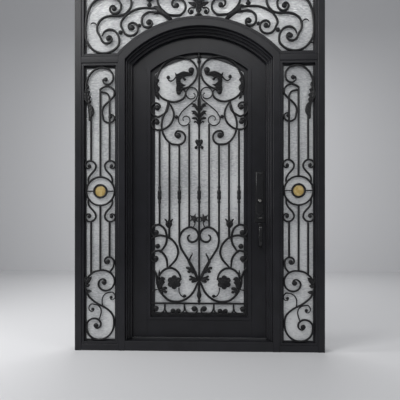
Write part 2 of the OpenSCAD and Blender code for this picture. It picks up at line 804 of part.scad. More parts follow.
module door_upper_scrolls() {
    leaf_iron() upper_pattern();
}

module door_lower_scrolls() {
    leaf_iron() lower_pattern();
}

module door_border() {
    leaf_iron() border_pattern();
}

module door_vertical_bars() {
    leaf_iron() difference() {
        vertical_bar_pattern();
        offset(delta = seat) {
            upper_pattern();
            lower_pattern();
            border_pattern();
        }
    }
}

// ---- Handleset ----

ear_t = 5;
thumb_w = 18;
ear_gap = 1;
thumb_pin_r = 2.5;
thumb_barrel_r = 5;
thumb_y = leaf_y - plate_t - thumb_barrel_r - ear_gap;

// The plate, with two ears and a pin for the thumb piece
module handle_plate() {
    color(dark_bronze) union() {
        block([handle_x - plate_w / 2, leaf_y - plate_t, plate_z], [handle_x + plate_w / 2, leaf_y, plate_z + plate_l]);
        for (side = [-1, 1])
            translate([handle_x + side * (thumb_w / 2 + ear_gap + ear_t / 2), 0, thumb_z]) {
                translate([0, (thumb_y + leaf_y - plate_t) / 2, 0])
                    cube([ear_t, leaf_y - plate_t - thumb_y, 2 * thumb_barrel_r], center = true);
                translate([0, thumb_y, 0]) rotate([0, 90, 0]) cylinder(ear_t, r = thumb_barrel_r, center = true);
            }
        translate([handle_x, thumb_y, thumb_z]) rotate([0, 90, 0])
            cylinder(thumb_w + 2 * ear_gap + 2 * ear_t, r = thumb_pin_r, center = true);
    }
}

module thumb_piece() {
    color(dark_bronze) difference() {
        union() {
            translate([handle_x, thumb_y, thumb_z]) rotate([0, 90, 0])
                cylinder(thumb_w, r = thumb_barrel_r, center = true);
            block([handle_x - thumb_w / 2, thumb_y - thumb_l, thumb_z - 2], [handle_x + thumb_w / 2, thumb_y, thumb_z + 3]);
        }
        translate([handle_x, thumb_y, thumb_z]) rotate([0, 90, 0])
            cylinder(thumb_w + 2, r = thumb_pin_r + pin_play, center = true);
    }
}

pull_y = leaf_y - pull_reach;
pull_t = 14;
pull_top = plate_z - 8;

module pull_grip() {
    x0 = handle_x - pull_w / 2;
    x1 = handle_x + pull_w / 2;
    color(dark_bronze) union() {
        block([x0, pull_y - pull_t, pull_z], [x1, pull_y, pull_top]);
        block([x0, pull_y - 1, pull_top - 16], [x1, leaf_y, pull_top]);
        block([x0, pull_y - 1, pull_z], [x1, leaf_y, pull_z + 16]);
    }
}

module key_cylinder() {
    color(dark_bronze) translate([handle_x, leaf_y - plate_t, lock_z]) rotate([90, 0, 0]) cylinder(10, r = 17);
}

module interior_plate() {
    color(dark_bronze) block([handle_x - plate_w / 2, leaf_back_y, plate_z],
        [handle_x + plate_w / 2, leaf_back_y + plate_t, plate_z + plate_l]);
}

module interior_lever() {
    y = leaf_back_y + plate_t;
    color(dark_bronze) union() {
        translate([handle_x, y + 45, thumb_z + 20]) rotate([90, 0, 0]) cylinder(45, r = 9);
        block([handle_x - 115, y + 36, thumb_z + 12], [handle_x + 9, y + 48, thumb_z + 28]);
    }
}

left_jamb();
right_jamb();
header();
left_mullion();
right_mullion();
left_transom_bar();
right_transom_bar();
transom_arch();
threshold();
left_bottom_rail();
right_bottom_rail();
left_door_stop();
right_door_stop();
arch_door_stop();
left_sidelight_bead();
right_sidelight_bead();
transom_upper_bead();
transom_lower_bead();
left_sidelight_glass();
right_sidelight_glass();
transom_glass();
left_sidelight_grille();
right_sidelight_grille();
amber_medallions();
left_transom_scrolls();
right_transom_scrolls();
frame_hinge_halves();
hinge_stile();
lock_stile();
door_bottom_rail();
door_arch_rail();
door_moulding();
door_glass_sash();
door_glass();
door_upper_scrolls();
door_vertical_bars();
door_lower_scrolls();
door_border();
handle_plate();
pull_grip();
key_cylinder();
interior_plate();
interior_lever();
door_hinge_halves();
thumb_piece();
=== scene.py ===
"""The looks of an arched wrought iron entrance door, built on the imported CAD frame.

Shapes are in millimetres until a mesh is made; the stage, lamps and camera are in metres.
X is across, Z up, and -Y outdoors.
"""
import math

import bmesh
import bpy
import numpy as np
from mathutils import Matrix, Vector
from mathutils.geometry import delaunay_2d_cdt


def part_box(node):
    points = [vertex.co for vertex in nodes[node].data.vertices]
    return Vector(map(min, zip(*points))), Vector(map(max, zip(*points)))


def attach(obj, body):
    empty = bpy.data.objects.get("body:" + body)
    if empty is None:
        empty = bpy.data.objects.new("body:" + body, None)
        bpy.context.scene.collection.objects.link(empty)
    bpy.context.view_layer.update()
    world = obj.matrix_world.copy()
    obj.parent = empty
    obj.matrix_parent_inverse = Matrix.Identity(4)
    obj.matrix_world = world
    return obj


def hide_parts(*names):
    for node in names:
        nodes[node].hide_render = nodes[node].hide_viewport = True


MM = 0.001
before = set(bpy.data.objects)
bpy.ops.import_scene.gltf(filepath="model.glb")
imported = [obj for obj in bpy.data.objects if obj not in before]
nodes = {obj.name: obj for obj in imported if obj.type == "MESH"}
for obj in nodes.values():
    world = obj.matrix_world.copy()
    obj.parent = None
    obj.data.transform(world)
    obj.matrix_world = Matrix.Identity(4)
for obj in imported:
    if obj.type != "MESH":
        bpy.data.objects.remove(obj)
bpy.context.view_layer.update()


# ---- Materials ----

def shader(name, colour, roughness, metallic=0.0):
    """A Principled material and its nodes."""
    material = bpy.data.materials.new(name)
    material.use_nodes = True
    tree = material.node_tree
    bsdf = tree.nodes["Principled BSDF"]
    bsdf.inputs["Base Color"].default_value = (*colour, 1)
    bsdf.inputs["Roughness"].default_value = roughness
    bsdf.inputs["Metallic"].default_value = metallic
    material.diffuse_color = (*colour, 1)
    return material, tree, bsdf


def noise(tree, scale, detail=3.0, stretch=(1, 1, 1)):
    """A noise texture in object space, stretched along the axes."""
    place = tree.nodes.new("ShaderNodeTexCoord")
    mapping = tree.nodes.new("ShaderNodeMapping")
    mapping.inputs["Scale"].default_value = stretch
    texture = tree.nodes.new("ShaderNodeTexNoise")
    texture.inputs["Scale"].default_value = scale
    texture.inputs["Detail"].default_value = detail
    tree.links.new(place.outputs["Object"], mapping.inputs["Vector"])
    tree.links.new(mapping.outputs["Vector"], texture.inputs["Vector"])
    return texture.outputs["Fac"]


def ramp(tree, source, low, high, at=(0.35, 0.65)):
    """Colours between low and high where source runs over the range at."""
    node = tree.nodes.new("ShaderNodeValToRGB")
    node.color_ramp.elements[0].position = at[0]
    node.color_ramp.elements[1].position = at[1]
    node.color_ramp.elements[0].color = (*low, 1)
    node.color_ramp.elements[1].color = (*high, 1)
    tree.links.new(source, node.inputs["Fac"])
    return node.outputs["Color"]


def bump(tree, bsdf, source, strength, depth):
    """Dents the surface by source, depth metres deep."""
    node = tree.nodes.new("ShaderNodeBump")
    node.inputs["Strength"].default_value = strength
    node.inputs["Distance"].default_value = depth
    tree.links.new(source, node.inputs["Height"])
    tree.links.new(node.outputs["Normal"], bsdf.inputs["Normal"])


def painted_iron(name, low, high, roughness, hammer_scale, hammer_depth):
    """Satin black paint over steel, a little uneven in tone."""
    material, tree, bsdf = shader(name, low, roughness)
    bsdf.inputs["Specular IOR Level"].default_value = 0.28
    tree.links.new(ramp(tree, noise(tree, 9), low, high), bsdf.inputs["Base Color"])
    bump(tree, bsdf, noise(tree, hammer_scale, 2), 0.5, hammer_depth)
    return material


def rain_glass(name, dark, pale):
    """Obscure glass, clouded and rippled like running water."""
    material, tree, bsdf = shader(name, pale, 0.18)
    bsdf.inputs["Transmission Weight"].default_value = 0.5
    bsdf.inputs["IOR"].default_value = 1.5
    ripples = noise(tree, 62, 5, (0.8, 1, 2.1))
    clouds = noise(tree, 3, 1, (1.6, 1, 0.8))
    mix = tree.nodes.new("ShaderNodeMath")
    mix.operation = "ADD"
    share = tree.nodes.new("ShaderNodeMath")
    share.operation = "MULTIPLY"
    share.inputs[1].default_value = 0.5
    tree.links.new(ripples, mix.inputs[0])
    tree.links.new(clouds, mix.inputs[1])
    tree.links.new(mix.outputs[0], share.inputs[0])
    tree.links.new(ramp(tree, share.outputs[0], dark, pale, (0.38, 0.58)), bsdf.inputs["Base Color"])
    bump(tree, bsdf, ripples, 0.9, 0.004)
    return material


FRAME_PAINT = painted_iron("frame_paint", (0.011, 0.011, 0.013), (0.015, 0.015, 0.018), 0.30, 500, 0.0002)
LEAF_PAINT = painted_iron("leaf_paint", (0.010, 0.010, 0.012), (0.013, 0.013, 0.016), 0.30, 500, 0.0002)
FORGED = painted_iron("forged_iron", (0.006, 0.006, 0.007), (0.011, 0.011, 0.012), 0.36, 110, 0.0012)
CAST = painted_iron("cast_iron", (0.006, 0.006, 0.007), (0.013, 0.013, 0.014), 0.38, 260, 0.0008)
BRONZE = painted_iron("handle_bronze", (0.008, 0.008, 0.009), (0.012, 0.012, 0.013), 0.24, 800, 0.0001)
# A lighter grey for the thumb piece: a painted highlight for the glint on its lit top.
THUMB_GLINT_PAINT = painted_iron("thumb_glint_bronze", (0.07, 0.07, 0.07), (0.12, 0.115, 0.11), 0.25, 700, 0.0001)
HINGE = painted_iron("hinge_paint", (0.016, 0.016, 0.018), (0.022, 0.022, 0.024), 0.38, 400, 0.0002)
GLASS = rain_glass("rain_glass", (0.50, 0.51, 0.52), (0.84, 0.85, 0.85))
BRONZE.node_tree.nodes["Principled BSDF"].inputs["Specular IOR Level"].default_value = 0.4

AMBER, amber_tree, amber_bsdf = shader("amber_glass", (0.60, 0.44, 0.16), 0.25)
amber_bsdf.inputs["Transmission Weight"].default_value = 0.25
amber_bsdf.inputs["Coat Weight"].default_value = 0.5
amber_tint = ramp(amber_tree, noise(amber_tree, 45), (0.52, 0.36, 0.11), (0.68, 0.52, 0.22))
amber_tree.links.new(amber_tint, amber_bsdf.inputs["Base Color"])
bump(amber_tree, amber_bsdf, noise(amber_tree, 120), 0.4, 0.001)

KEY_METAL, key_tree, key_bsdf = shader("key_metal", (0.56, 0.54, 0.50), 0.28, 1.0)
bump(key_tree, key_bsdf, noise(key_tree, 900), 0.3, 0.0001)


# ---- Curves ----

def smooth(points, step=4.0, closed=False):
    """A smooth path through the points, about step apart."""
    p = [np.array(q, float) for q in points]
    n = len(p)
    path = []
    for i in range(n if closed else n - 1):
        b, c = p[i], p[(i + 1) % n]
        a = p[i - 1] if closed or i else b
        d = p[(i + 2) % n] if closed or i + 2 < n else c
        parts = max(1, math.ceil(np.linalg.norm(c - b) / step))
        for k in range(parts):
            t = k / parts
            path.append(0.5 * (2 * b + (c - a) * t + (2 * a - 5 * b + 4 * c - d) * t * t
                               + (3 * b - a - 3 * c + d) * t ** 3))
    if not closed:
        path.append(p[-1])
    return path


def coil(centre, r0, r1, a0, a1):
    """Points of a coil about centre, from radius r0 at angle a0 to radius r1 at angle a1."""
    n = math.ceil(abs(a1 - a0) / 20)
    turn = [(i / n, math.radians(a0 + (a1 - a0) * i / n)) for i in range(n + 1)]
    return [(centre[0] + (r0 + (r1 - r0) * t) * math.cos(a), centre[1] + (r0 + (r1 - r0) * t) * math.sin(a))
            for t, a in turn]


def ease(t):
    """Goes from 0 to 1 as t does, level at both ends."""
    return t * t * (3 - 2 * t)


# ---- Shapes ----

class Shape:
    """Vertices and faces of one piece, in millimetres."""

    def __init__(self, at=(0, 0), flip=False):
        self.verts = []
        self.faces = []
        self.at = np.array([at[0], 0, at[1]], float)
        self.flip = flip

    def add(self, verts, faces):
        """Takes in vertices and faces, moved to the shape's place and mirrored if it is flipped."""
        base = len(self.verts)
        for v in verts:
            x, y, z = v
            self.verts.append(((-x if self.flip else x) + self.at[0], y, z + self.at[2]))
        for f in faces:
            self.faces.append([base + i for i in (reversed(f) if self.flip else f)])

    def rings(self, rings, closed=False):
        """Joins rings of equal length, and caps the ends unless they close on themselves."""
        n = len(rings[0])
        verts = [v for ring in rings for v in ring]
        faces = []
        last = len(rings) if closed else len(rings) - 1
        for i in range(last):
            j = (i + 1) % len(rings)
            for k in range(n):
                m = (k + 1) % n
                faces.append([i * n + k, i * n + m, j * n + m, j * n + k])
        if not closed:
            faces.append(list(range(n - 1, -1, -1)))
            faces.append([(len(rings) - 1) * n + k for k in range(n)])
        self.add(verts, faces)

    def bar(self, path, w, d, y, ends=(1, 1), closed=False, uneven=0.25):
        """A forged bar along a path in the XZ plane, with rounded corners, drawn out towards its ends."""
        n = len(path)
        corner = 0.36 * min(w, d)
        in_x, in_y = w / 2 - corner, d / 2 - corner
        profile = [(sx * in_x + corner * math.cos(a), sy * in_y + corner * math.sin(a))
                   for q, (sx, sy) in enumerate([(1, 1), (-1, 1), (-1, -1), (1, -1)])
                   for a in (math.radians(90 * q + 10), math.radians(90 * q + 45), math.radians(90 * q + 80))]
        lengths = np.cumsum([0] + [np.linalg.norm(path[i + 1] - path[i]) for i in range(n - 1)])
        total = max(lengths[-1], 1e-6)
        rings = []
        for i, p in enumerate(path):
            back = path[i - 1] if closed or i else p
            ahead = path[(i + 1) % n] if closed or i + 1 < n else p
            way = (ahead - back) / max(np.linalg.norm(ahead - back), 1e-6)
            side = np.array([-way[1], way[0]])
            taper = 1.0
            if not closed:
                reach = min(70.0, total / 3)
                taper = min(ends[0] + (1 - ends[0]) * ease(min(lengths[i] / reach, 1)),
                            ends[1] + (1 - ends[1]) * ease(min((total - lengths[i]) / reach, 1)))
            swell = uneven * math.sin(lengths[i] * 0.21) + uneven * 0.6 * math.sin(lengths[i] * 0.083 + 1)
            rings.append([(p[0] + side[0] * u * taper * (1 + swell / w), y + v * (0.25 + 0.75 * taper),
                           p[1] + side[1] * u * taper * (1 + swell / w))
                          for u, v in profile])
        self.rings(rings, closed)

    def lathe(self, x, y, profile, around=14, axis="z", depth=1.0):
        """A turned piece about an upright axis, or about one along Y: profile is (radius, height)."""
        rings = []
        for r, h in profile:
            circle = [(r * math.cos(2 * math.pi * k / around), r * math.sin(2 * math.pi * k / around))
                      for k in range(around)]
            if axis == "z":
                rings.append([(x + a, y + b * depth, h) for a, b in circle])
            else:
                rings.append([(x + a, h, y + b) for a, b in circle])
        self.rings(rings)

    def ball(self, c, y, r, depth=None, rows=8, around=16):
        """A round boss: radius r in the plane, and depth from front to back."""
        half = (depth or 2 * r) / 2
        profile = []
        for i in range(rows + 1):
            a = math.pi * (i + 0.02) / (rows + 0.04)
            profile.append((max(r * math.sin(a), 0.05), y - half * math.cos(a)))
        self.lathe(c[0], c[1], profile[::-1], around, "y")

    def relief(self, outline, y, front, back, dome, step=4.0, axis=None, pitch=16.0, sharp=False, rib=0.32):
        """A casting: a domed plate with the outline, ribbed like a leaf along its axis from root to tip."""
        edge = smooth(outline, step, True) if not sharp else [np.array(q, float) for q in outline]
        loop = np.array(edge)
        a, b = loop, np.roll(loop, -1, 0)

        def clear(points):
            p = points[:, None, :]
            ab = (b - a)[None]
            t = np.clip(((p - a[None]) * ab).sum(2) / np.maximum((ab * ab).sum(2), 1e-9), 0, 1)
            return np.linalg.norm(p - (a[None] + ab * t[..., None]), axis=2).min(1)

        def inside(points):
            x, z = points[:, 0][:, None], points[:, 1][:, None]
            crosses = (a[:, 1] > z) != (b[:, 1] > z)
            with np.errstate(divide="ignore", invalid="ignore"):
                at = a[:, 0] + (z - a[:, 1]) * (b[:, 0] - a[:, 0]) / (b[:, 1] - a[:, 1])
            return (crosses & (x < at)).sum(1) % 2 == 1

        lo, hi = loop.min(0), loop.max(0)
        grid = np.array([(x + (row % 2) * step / 2, z)
                         for row, z in enumerate(np.arange(lo[1], hi[1], step * 0.87))
                         for x in np.arange(lo[0] - step, hi[0], step)])
        grid = grid[inside(grid)]
        grid = grid[clear(grid) > 0.55 * step] if len(grid) else grid
        flat = [Vector(q) for q in loop] + [Vector(q) for q in grid]
        out = delaunay_2d_cdt(flat, [], [list(range(len(loop)))], 1, 1e-4)
        points = np.array([tuple(v) for v in out[0]])
        depth = clear(points)
        t = np.clip(depth / dome, 0, 1)
        height = np.sqrt(np.maximum(1 - (1 - t) ** 2, 0))
        if axis is not None:
            root, tip = np.array(axis[0], float), np.array(axis[1], float)
            way = (tip - root) / np.linalg.norm(tip - root)
            along = (points - root) @ way
            across = np.abs((points - root) @ np.array([-way[1], way[0]]))
            ribs = 0.5 + 0.5 * np.cos(2 * math.pi * (along + 0.9 * across) / pitch)
            height = height * (1 - rib + rib * ribs) * (1 - 0.4 * np.exp(-(across / 2.2) ** 2))
        on_edge = depth < 1e-3
        verts = [(p[0], y - front * h, p[1]) for p, h in zip(points, height)]
        under = {}
        for i, (p, h) in enumerate(zip(points, height)):
            if on_edge[i]:
                under[i] = i
            else:
                under[i] = len(verts)
                verts.append((p[0], y + back * h, p[1]))
        faces = []
        for f in out[2]:
            x = [points[i] for i in f]
            turn = (x[1][0] - x[0][0]) * (x[2][1] - x[0][1]) - (x[1][1] - x[0][1]) * (x[2][0] - x[0][0])
            f = list(f) if turn > 0 else list(reversed(f))
            faces.append(f)
            faces.append([under[i] for i in reversed(f)])
        self.add(verts, faces)

    def build(self, name, material, body, slot, replaced=(), corner=38):
        """Makes the scene's piece out of the shape."""
        mesh = bpy.data.meshes.new(name)
        mesh.from_pydata([(x * MM, y * MM, z * MM) for x, y, z in self.verts], [], self.faces)
        return finish_mesh(mesh, name, material, body, replaced, corner)


def finish_mesh(mesh, name, material, body, replaced, corner, weighted=False):
    """Shades a mesh, puts it in the scene and ties it to its body and CAD nodes."""
    mesh.validate()
    mesh.shade_smooth()
    mesh.set_sharp_from_angle(angle=math.radians(corner))
    mesh.materials.clear()
    mesh.materials.append(material)
    piece = bpy.data.objects.new(name, mesh)
    bpy.context.scene.collection.objects.link(piece)
    if weighted:
        normals = piece.modifiers.new("even_faces", "WEIGHTED_NORMAL")
        normals.keep_sharp = True
        normals.weight = 100
    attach(piece, body)
    if replaced:
        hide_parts(*replaced)
    return piece


def softened(node, width, material, body, ends=None, segments=2, welded=None, split_z=None):
    """A copy of a CAD node with its edges rounded, all but those in the planes of its ends along an axis
    and those that the function welded picks by their ends. Its long edges are split at the height split_z,
    and the front and back faces above it keep crisp edges, so that they are shaded flat beside the arch."""
    bm = bmesh.new()
    bm.from_mesh(nodes[node].data)
    bmesh.ops.remove_doubles(bm, verts=bm.verts, dist=1e-6)
    bmesh.ops.dissolve_limit(bm, angle_limit=0.01, verts=bm.verts, edges=bm.edges)
    if split_z is not None:
        bmesh.ops.bisect_plane(bm, geom=bm.verts[:] + bm.edges[:] + bm.faces[:],
                               plane_co=(0, 0, split_z * MM), plane_no=(0, 0, 1))
    low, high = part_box(node)
    chosen = []
    for e in bm.edges:
        if len(e.link_faces) != 2 or e.calc_face_angle(0) < 0.5:
            continue
        if ends is not None:
            places = [v.co[ends] for v in e.verts]
            if any(max(abs(q - end[ends]) for q in places) < 1e-5 for end in (low, high)):
                continue
        if welded and all(welded(v.co / MM) for v in e.verts):
            continue
        chosen.append(e)
    bmesh.ops.bevel(bm, geom=chosen, offset=width * MM, segments=segments, profile=0.5, affect="EDGES",
                    clamp_overlap=True)
    mesh = bpy.data.meshes.new(node + "_piece")
    bm.to_mesh(mesh)
    bm.free()
    piece = finish_mesh(mesh, node + "_piece", material, body, (node,), 50, True)
    if split_z is not None:
        crisp = {key for face in mesh.polygons if face.center.z > split_z * MM and abs(face.normal.y) > 0.99
                 for key in face.edge_keys}
        for edge in mesh.edges:
            edge.use_edge_sharp = edge.use_edge_sharp or edge.key in crisp
    return piece


# ---- Frame, stops, beads and leaf ----

X, Y, Z = 0, 1, 2
arch_low, arch_high = (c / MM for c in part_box("transom_arch"))
DOOR_HALF = arch_high.x
# The arch's outer radius and the inner radius of the leaf's head have one centre, at ARCH_Z. The head meets
# the stiles where its inner edge is farther than HEAD_SEAM_X from the centre line.
ARCH_R = 725.4
ARCH_Z = arch_high.z - ARCH_R
LEAF_HEAD_R = 554.4
HEAD_SEAM_X = 359


def under_arch_end(p):
    """Where a mullion's corner runs behind the foot of the arch."""
    return abs(abs(p.x) - DOOR_HALF) < 0.5 and p.z > arch_low.z - 0.5


for node, ends in [("left_jamb", Z), ("right_jamb", Z), ("header", X), ("left_transom_bar", X),
                   ("right_transom_bar", X), ("transom_arch", X), ("threshold", X),
                   ("left_bottom_rail", X), ("right_bottom_rail", X)]:
    softened(node, 4.0, FRAME_PAINT, "root", ends)
for node in ("left_mullion", "right_mullion"):
    softened(node, 4.0, FRAME_PAINT, "root", Z, 2, under_arch_end, arch_low.z)
for node in ["left_door_stop", "right_door_stop", "arch_door_stop"]:
    softened(node, 4.0, FRAME_PAINT, "root", None)
for node in ["left_sidelight_bead", "right_sidelight_bead", "transom_upper_bead", "transom_lower_bead"]:
    softened(node, 2.0, FRAME_PAINT, "root", None)


def on_head_seam(p):
    """Where a stile runs into the arched head of the leaf."""
    return abs(math.hypot(p.x, p.z - ARCH_Z) - LEAF_HEAD_R) < 0.5 and abs(p.x) > HEAD_SEAM_X


for node, ends in [("hinge_stile", Z), ("lock_stile", Z), ("door_bottom_rail", X),
                   ("door_arch_rail", X)]:
    softened(node, 2.0, LEAF_PAINT, "door", ends, 2, on_head_seam)
softened("door_moulding", 1.5, LEAF_PAINT, "door", None)
softened("door_glass_sash", 1.5, LEAF_PAINT, "door", None)
softened("frame_hinge_halves", 1.0, HINGE, "root", None)
softened("door_hinge_halves", 1.0, HINGE, "door", None)
for node in ["left_sidelight_glass", "right_sidelight_glass", "transom_glass", "door_glass"]:
    nodes[node].data.materials.clear()
    nodes[node].data.materials.append(GLASS)

# ---- Ironwork sizes ----

BAR = 14
SCROLL = 13
HEAVY = 15.5
TENDRIL = 8
FRAME_Y = -57
LEAF_Y = 31
SIDE_X = 667
SIDE_STRETCH = 109 / 107
RING_Z = 1075
RING_R = 96
RING_INNER_R = 43
RING_EYE = (-74, 171)
SIDE_BAR_X = 62
SIDE_BAR_GAP = 206


def straight(x, z0, z1, step=40):
    """An upright path at x from z0 to z1."""
    n = max(1, math.ceil(abs(z1 - z0) / step))
    return [np.array([x, z0 + (z1 - z0) * i / n], float) for i in range(n + 1)]


def mirrored(points):
    """The points on the other side of the centre line."""
    return [(-x, z) for x, z in points]


def ring_path(radius, height, parts):
    """A closed path round the centre line at a height."""
    return [np.array([radius * math.cos(a), height + radius * math.sin(a)])
            for a in np.linspace(0, 2 * math.pi, parts, endpoint=False)]


def leaf_outline(root, tip, width, lobes=0, bite=0.22):
    """A leaf's outline from root to tip; with lobes it has notched sides."""
    root, tip = np.array(root, float), np.array(tip, float)
    along, length = tip - root, np.linalg.norm(tip - root)
    side = np.array([-along[1], along[0]]) / length
    n = max(6, 4 * lobes)
    right = []
    for i in range(1, n):
        t = i / n
        w = width * math.sin(math.pi * t ** 0.75) ** 0.8
        if lobes:
            w *= 1 - bite * (0.5 + 0.5 * math.cos(2 * math.pi * t * lobes))
        right.append((t, w))
    ahead = [tuple(root + along * t + side * w) for t, w in right]
    back = [tuple(root + along * t - side * w) for t, w in reversed(right)]
    return [tuple(root)] + ahead + [tuple(tip)] + back


# ---- Sidelights ----

top_scroll = [(-100, 1745), (-94, 1805), (-82, 1842), (-64, 1873), (-34, 1900), (10, 1914), (56, 1900),
              (80, 1874)] + coil((36, 1832), 53, 12, 22, -200)
harp_scroll = [(0, 1765), (22, 1780), (50, 1786), (78, 1774), (93, 1750), (92, 1724), (78, 1704), (56, 1682),
               (34, 1662), (19, 1640), (12, 1612), (16, 1585)] + coil((66, 1578), 48, 12, 205, 470)
inner_arch = [(0, 1748), (34, 1742), (52, 1730), (62, 1706)]
small_scroll = [(58, 522), (84, 556)] + coil((52, 598), 42, 11, -25, 300)
big_scroll = (coil((26, 456), 14, 86, 40, 465)
              + [(-38, 530), (-72, 504), (-93, 470), (-101, 425), (-80, 366), (-49, 335), (-17, 312),
                 (19, 294), (50, 274), (76, 248), (89, 217)]
              + coil((-25, 160), 116, 68, 5, -165) + coil((-30, 164), 62, 12, -190, -470))
tendril_up = [(16, 296), (12, 338), (22, 366), (44, 385)] + coil((72, 356), 36, 10, 80, -120)
tendril_down = [(-8, 204), (6, 255), (0, 284), (-18, 302)] + coil((-50, 275), 36, 10, 100, 300)
ring_scroll = [(-80, 54), (-80, 83), (-68, 109), (-50, 129), (-35, 149)] + coil(RING_EYE, 44, 10, 0, 330)
side_leaf = [(-84, 1802), (-94, 1786), (-104, 1762), (-111, 1735), (-111, 1705), (-103, 1682),
             (-92, 1664), (-84, 1642), (-83, 1618), (-80, 1594), (-80, 1572), (-74, 1553), (-63, 1552),
             (-58, 1570), (-48, 1588), (-42, 1608), (-44, 1632), (-54, 1654), (-66, 1668), (-60, 1684),
             (-70, 1700), (-62, 1716), (-76, 1730), (-68, 1750), (-82, 1762), (-76, 1782)]
side_stem = [(-112, 1712), (-98, 1690), (-78, 1672), (-62, 1652), (-54, 1626), (-62, 1600)]


def sidelight(name, side):
    """The scrolls, ring, bars and leaf castings of one sidelight; its drawing is of the left one."""
    shape = Shape((side * SIDE_X, 0), side > 0)

    def on(p):
        return [(x * SIDE_STRETCH, z) for x, z in p]

    y = FRAME_Y
    shape.bar(smooth(on(top_scroll)), SCROLL, BAR, y, (0.9, 0.7))
    shape.bar(smooth(on(harp_scroll)), SCROLL, BAR, y - 0.4, (1, 0.7))
    shape.bar(smooth(on(inner_arch)), SCROLL, BAR - 1, y)
    shape.bar(smooth(on(small_scroll)), SCROLL, BAR, y - 0.3, (1, 0.7))
    shape.bar(smooth(on(big_scroll)), SCROLL, BAR, y, (0.75, 0.75))
    for p in (tendril_up, tendril_down):
        shape.bar(smooth(on(p)), TENDRIL, TENDRIL + 2, y - 1, (1, 0.7))
    for c, r in [((36, 1832), 15), ((66, 1578), 14), ((52, 598), 15), ((26, 456), 17),
                 ((-30, 164), 17), ((72, 356), 11), ((-50, 275), 11)]:
        shape.ball(on([c])[0], y, r, 17)
    shape.bar(ring_path(RING_R, RING_Z, 72), SCROLL, BAR, y, closed=True, uneven=0)
    shape.bar(ring_path(RING_INNER_R, RING_Z, 48), SCROLL, BAR + 2, y, closed=True, uneven=0)
    for x in (-1, 1):
        shape.bar([np.array([x * (RING_INNER_R + k * (RING_R - RING_INNER_R) / 3), RING_Z])
                   for k in range(4)], 8, 9, y)
    for sx in (-1, 1):
        for sz in (-1, 1):
            path = [(sx * x * SIDE_STRETCH, RING_Z + sz * z) for x, z in ring_scroll]
            shape.bar(smooth(path), SCROLL, BAR, y - 0.4, (0.9, 0.7))
            eye = (sx * RING_EYE[0] * SIDE_STRETCH, RING_Z + sz * RING_EYE[1])
            shape.ball(eye, y, 13, 17)
    b = SIDE_BAR_X * SIDE_STRETCH
    above, below = RING_Z + SIDE_BAR_GAP, RING_Z - SIDE_BAR_GAP
    for x, z0, z1 in [(0, RING_Z + RING_R, 1768), (-b, above, 1580), (b, above, 1712),
                      (0, RING_Z - RING_R, 542), (-b, below, 510), (b, below, 630)]:
        shape.bar(straight(x, z0, z1), BAR, BAR, y, uneven=0)
    shape.build(name, FORGED, "root", "forged_iron", (name + "_grille",))

    leaf = Shape((side * SIDE_X, 0), side > 0)
    leaf.relief(on(side_leaf), y, 11, 7, 9, axis=(on([(-98, 1790)])[0], on([(-66, 1560)])[0]), pitch=24,
                rib=0.2)
    leaf.bar(smooth(on(side_stem)), 11, 12, y - 5, (0.6, 0.7))
    leaf.ball(on([(-58, 1600)])[0], y - 3, 13, 18)
    leaf.ball(on([(-69, 1562)])[0], y - 1, 11, 16)
    for tip, root, w in [((-58, 496), (-98, 450), 15), ((-66, 440), (-104, 436), 14),
                         ((-56, 398), (-98, 396), 12), ((-98, 506), (-104, 452), 10)]:
        leaf.relief(on(leaf_outline(root, tip, w)), y - 2, 9, 7, 6, 3, (root, tip), 12)
    leaf.build(name + "_leaf_castings", CAST, "root", "forged_iron")


sidelight("left_sidelight", -1)
sidelight("right_sidelight", 1)
amber = Shape()
for side in (-1, 1):
    amber.ball((side * SIDE_X, RING_Z), FRAME_Y + 2, 37, 9, 10, 32)
amber.build("amber_cabochons", AMBER, "root", "amber", ("amber_medallions",))

# ---- Transom ----

great_scroll = ([(655, 2124), (640, 2155), (604, 2170), (564, 2155), (540, 2112), (545, 2060),
                 (590, 2022), (647, 2010), (704, 2026), (744, 2066), (766, 2115), (769, 2180),
                 (764, 2240), (750, 2296), (720, 2350), (665, 2386), (608, 2395), (556, 2378), (528, 2342)]
                + coil((574, 2314), 48, 13, 170, 480))
s_scroll = ([(480, 2400), (460, 2372), (455, 2340), (466, 2308), (494, 2276), (530, 2263), (570, 2262),
             (606, 2261), (645, 2249), (674, 2224), (688, 2190), (686, 2154), (672, 2130)]
            + coil((614, 2114), 50, 12, 0, -260))
arch_scroll = ([(250, 2304), (330, 2311), (382, 2311), (422, 2303), (458, 2287), (494, 2262), (518, 2232),
                (528, 2200)] + coil((454, 2180), 64, 14, -5, -420))
inner_scroll = ([(250, 2274), (308, 2281), (336, 2281), (362, 2270), (380, 2250)]
                + coil((340, 2214), 46, 12, 15, -290))
centre_scroll = ([(284, 2401), (280, 2366), (273, 2336), (255, 2306), (228, 2279), (200, 2263), (168, 2258)]
                 + coil((146, 2318), 62, 52, 255, 70) + coil((150, 2326), 36, 12, 40, -80))
arch_leaf = [(306, 2320), (284, 2324), (262, 2320), (244, 2306), (226, 2290), (206, 2268), (188, 2250),
             (176, 2232), (180, 2222), (196, 2222), (214, 2234), (238, 2252), (262, 2266), (300, 2268),
             (284, 2294)]
urn = [(3, 2316), (9, 2319), (16, 2326), (18, 2333), (12, 2341), (7, 2347), (8, 2352), (18, 2360),
       (29, 2372), (30, 2381), (25, 2390), (14, 2398), (5, 2401)]


